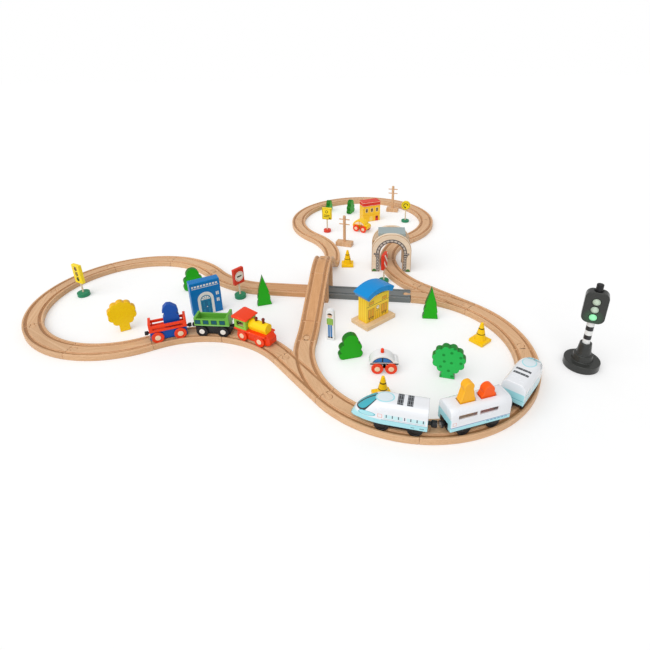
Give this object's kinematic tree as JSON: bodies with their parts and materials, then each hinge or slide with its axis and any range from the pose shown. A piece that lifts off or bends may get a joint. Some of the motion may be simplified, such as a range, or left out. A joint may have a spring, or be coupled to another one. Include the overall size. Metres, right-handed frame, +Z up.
{
  "type": "wooden train set",
  "caption": "Wooden toy railway laid out as three joined loops with a bridge, a tunnel, a steam train, an express train, small cars, buildings, signs, trees and a signal lamp.",
  "frame": {"origin": "on the table, under the crossing of the grey straight and the bridge", "axes": "+X along the grey straight towards the right loop, +Y along the bridge towards the top loop, +Z up"},
  "size_m": [1.1657, 1.1106, 0.161],
  "materials": {
    "beech": "clear lacquer",
    "grey_track": "grey paint",
    "tunnel_wood": "clear lacquer with print",
    "tunnel_grey": "grey paint",
    "red_paint": "gloss paint",
    "yellow_paint": "gloss paint",
    "green_paint": "gloss paint",
    "blue_paint": "gloss paint",
    "black_plastic": "smooth",
    "red_plastic": "smooth",
    "express_white": "smooth, printed",
    "cargo_yellow": "gloss paint",
    "cargo_orange": "gloss paint",
    "white_paint": "gloss paint",
    "car_yellow": "gloss paint",
    "block_blue": "gloss paint",
    "station_yellow": "printed",
    "roof_blue": "gloss paint",
    "market_yellow": "printed",
    "sign_paint": "printed",
    "stand_green": "smooth",
    "cone_yellow": "smooth, printed",
    "tree_green": "gloss paint",
    "signal_grey": "smooth"
  },
  "bodies": {
    "layout": {"right_loop_curves": "beech", "left_loop_curves": "beech", "top_loop_curves": "beech", "lower_switch": "beech", "right_switch": "beech", "wood_straight": "beech", "grey_straight": "grey_track", "near_ramp": "beech", "far_ramp": "beech", "bridge_piers": "beech", "tunnel_portals": "tunnel_wood", "tunnel_roof": "tunnel_grey", "white_car": "white_paint", "yellow_car": "car_yellow", "blue_block": "block_blue", "station_house": "station_yellow", "station_roof": "roof_blue", "market_house": "market_yellow", "sign_boards": "sign_paint", "sign_stands": "stand_green", "telegraph_poles": "beech", "traffic_cones": "cone_yellow", "slab_trees": "tree_green", "figure": "white_paint", "signal_base": "signal_grey", "signal_post_tube": "white_paint", "signal_head": "signal_grey"},
    "steam_engine": {"engine_chassis": "red_paint", "engine_boiler": "yellow_paint", "engine_cab": "green_paint", "engine_roof": "red_paint"},
    "green_wagon": {"green_wagon_chassis": "black_plastic", "green_wagon_box": "green_paint"},
    "red_wagon": {"red_wagon_chassis": "blue_paint", "red_wagon_tray": "red_paint"},
    "express_loco": {"express_loco": "express_white"},
    "express_car": {"express_car": "express_white"},
    "express_tail": {"express_tail": "express_white"},
    "engine_front_wheels": {"engine_front_wheels": "red_plastic"},
    "engine_rear_wheels": {"engine_rear_wheels": "red_plastic"},
    "green_front_wheels": {"green_front_wheels": "black_plastic"},
    "green_rear_wheels": {"green_rear_wheels": "black_plastic"},
    "red_front_wheels": {"red_front_wheels": "red_plastic"},
    "red_rear_wheels": {"red_rear_wheels": "red_plastic"},
    "loco_front_wheels": {"loco_front_wheels": "black_plastic"},
    "loco_rear_wheels": {"loco_rear_wheels": "black_plastic"},
    "car_front_wheels": {"car_front_wheels": "black_plastic"},
    "car_rear_wheels": {"car_rear_wheels": "black_plastic"},
    "tail_front_wheels": {"tail_front_wheels": "black_plastic"},
    "tail_rear_wheels": {"tail_rear_wheels": "black_plastic"},
    "white_car_front_wheels": {"white_car_front_wheels": "red_plastic"},
    "white_car_rear_wheels": {"white_car_rear_wheels": "red_plastic"},
    "yellow_car_front_wheels": {"yellow_car_front_wheels": "red_plastic"},
    "yellow_car_rear_wheels": {"yellow_car_rear_wheels": "red_plastic"},
    "blue_cargo": {"blue_cargo": "blue_paint"},
    "yellow_cargo": {"yellow_cargo": "cargo_yellow"},
    "orange_cargo": {"orange_cargo": "cargo_orange"},
    "signal_button": {"signal_button": "black_plastic"}
  },
  "joints": [
    {"name": "steam_engine_travel", "type": "hinge", "parent": "layout", "child": "steam_engine", "pos_m": [-0.17476, -0.39093, 0], "axis": [0, 0, 1], "range_deg": [-14, 3]},
    {"name": "green_wagon_travel", "type": "hinge", "parent": "layout", "child": "green_wagon", "pos_m": [-0.17476, -0.39093, 0], "axis": [0, 0, 1], "range_deg": [-14, 3]},
    {"name": "red_wagon_travel", "type": "hinge", "parent": "layout", "child": "red_wagon", "pos_m": [-0.17476, -0.39093, 0], "axis": [0, 0, 1], "range_deg": [-14, 3]},
    {"name": "express_car_travel", "type": "hinge", "parent": "layout", "child": "express_car", "pos_m": [0.2, -0.2, 0], "axis": [0, 0, 1], "range_deg": [-40, 60]},
    {"name": "express_loco_travel", "type": "hinge", "parent": "layout", "child": "express_loco", "pos_m": [0.2, -0.2, 0], "axis": [0, 0, 1], "range_deg": [-40, 60]},
    {"name": "express_tail_travel", "type": "hinge", "parent": "layout", "child": "express_tail", "pos_m": [0.2, -0.2, 0], "axis": [0, 0, 1], "range_deg": [-40, 60]},
    {"name": "engine_front_wheels_turn", "type": "hinge", "parent": "steam_engine", "child": "engine_front_wheels", "pos_m": [-0.07771, -0.21604, 0.0208], "axis": [0.3907, 0.9205, 0], "continuous": true},
    {"name": "engine_rear_wheels_turn", "type": "hinge", "parent": "steam_engine", "child": "engine_rear_wheels", "pos_m": [-0.11638, -0.19963, 0.0208], "axis": [0.3907, 0.9205, 0], "continuous": true},
    {"name": "green_front_wheels_turn", "type": "hinge", "parent": "green_wagon", "child": "green_front_wheels", "pos_m": [-0.16281, -0.19128, 0.0208], "axis": [-0.0454, 0.999, 0], "continuous": true},
    {"name": "green_rear_wheels_turn", "type": "hinge", "parent": "green_wagon", "child": "green_rear_wheels", "pos_m": [-0.20476, -0.19318, 0.0208], "axis": [-0.0454, 0.999, 0], "continuous": true},
    {"name": "red_front_wheels_turn", "type": "hinge", "parent": "red_wagon", "child": "red_front_wheels", "pos_m": [-0.25024, -0.20571, 0.0208], "axis": [-0.4726, 0.8813, 0], "continuous": true},
    {"name": "red_rear_wheels_turn", "type": "hinge", "parent": "red_wagon", "child": "red_rear_wheels", "pos_m": [-0.28726, -0.22556, 0.0208], "axis": [-0.4726, 0.8813, 0], "continuous": true},
    {"name": "loco_front_wheels_turn", "type": "hinge", "parent": "express_loco", "child": "loco_front_wheels", "pos_m": [0.15334, -0.39449, 0.0208], "axis": [-0.1149, -0.9934, 0], "continuous": true},
    {"name": "loco_rear_wheels_turn", "type": "hinge", "parent": "express_loco", "child": "loco_rear_wheels", "pos_m": [0.20102, -0.4, 0.0208], "axis": [-0.1149, -0.9934, 0], "continuous": true},
    {"name": "car_front_wheels_turn", "type": "hinge", "parent": "express_car", "child": "car_front_wheels", "pos_m": [0.26349, -0.38966, 0.0208], "axis": [0.4289, -0.9033, 0], "continuous": true},
    {"name": "car_rear_wheels_turn", "type": "hinge", "parent": "express_car", "child": "car_rear_wheels", "pos_m": [0.30685, -0.36907, 0.0208], "axis": [0.4289, -0.9033, 0], "continuous": true},
    {"name": "tail_front_wheels_turn", "type": "hinge", "parent": "express_tail", "child": "tail_front_wheels", "pos_m": [0.35435, -0.3272, 0.0208], "axis": [0.8425, -0.5388, 0], "continuous": true},
    {"name": "tail_rear_wheels_turn", "type": "hinge", "parent": "express_tail", "child": "tail_rear_wheels", "pos_m": [0.38021, -0.28676, 0.0208], "axis": [0.8425, -0.5388, 0], "continuous": true},
    {"name": "white_car_front_wheels_turn", "type": "hinge", "parent": "layout", "child": "white_car_front_wheels", "pos_m": [0.16193, -0.25275, 0.0106], "axis": [-0.1045, 0.9945, 0], "continuous": true},
    {"name": "white_car_rear_wheels_turn", "type": "hinge", "parent": "layout", "child": "white_car_rear_wheels", "pos_m": [0.13807, -0.25525, 0.0106], "axis": [-0.1045, 0.9945, 0], "continuous": true},
    {"name": "yellow_car_front_wheels_turn", "type": "hinge", "parent": "layout", "child": "yellow_car_front_wheels", "pos_m": [0.07056, 0.3915, 0.0106], "axis": [0.4226, 0.9063, 0], "continuous": true},
    {"name": "yellow_car_rear_wheels_turn", "type": "hinge", "parent": "layout", "child": "yellow_car_rear_wheels", "pos_m": [0.04881, 0.40165, 0.0106], "axis": [0.4226, 0.9063, 0], "continuous": true},
    {"name": "blue_cargo_lift", "type": "slide", "parent": "red_wagon", "child": "blue_cargo", "axis": [0, 0, 1], "range_m": [0, 0.07]},
    {"name": "yellow_cargo_lift", "type": "slide", "parent": "express_car", "child": "yellow_cargo", "axis": [0, 0, 1], "range_m": [0, 0.08]},
    {"name": "orange_cargo_lift", "type": "slide", "parent": "express_car", "child": "orange_cargo", "axis": [0, 0, 1], "range_m": [0, 0.08]},
    {"name": "signal_button_press", "type": "slide", "parent": "layout", "child": "signal_button", "axis": [0, 0, -1], "range_m": [0, 0.003], "stiffness_N_per_m": 200}
  ],
  "couplings": [
    {"joint": "green_wagon_travel", "follows": "steam_engine_travel", "ratio": 1},
    {"joint": "red_wagon_travel", "follows": "steam_engine_travel", "ratio": 1},
    {"joint": "express_loco_travel", "follows": "express_car_travel", "ratio": 1},
    {"joint": "express_tail_travel", "follows": "express_car_travel", "ratio": 1}
  ]
}
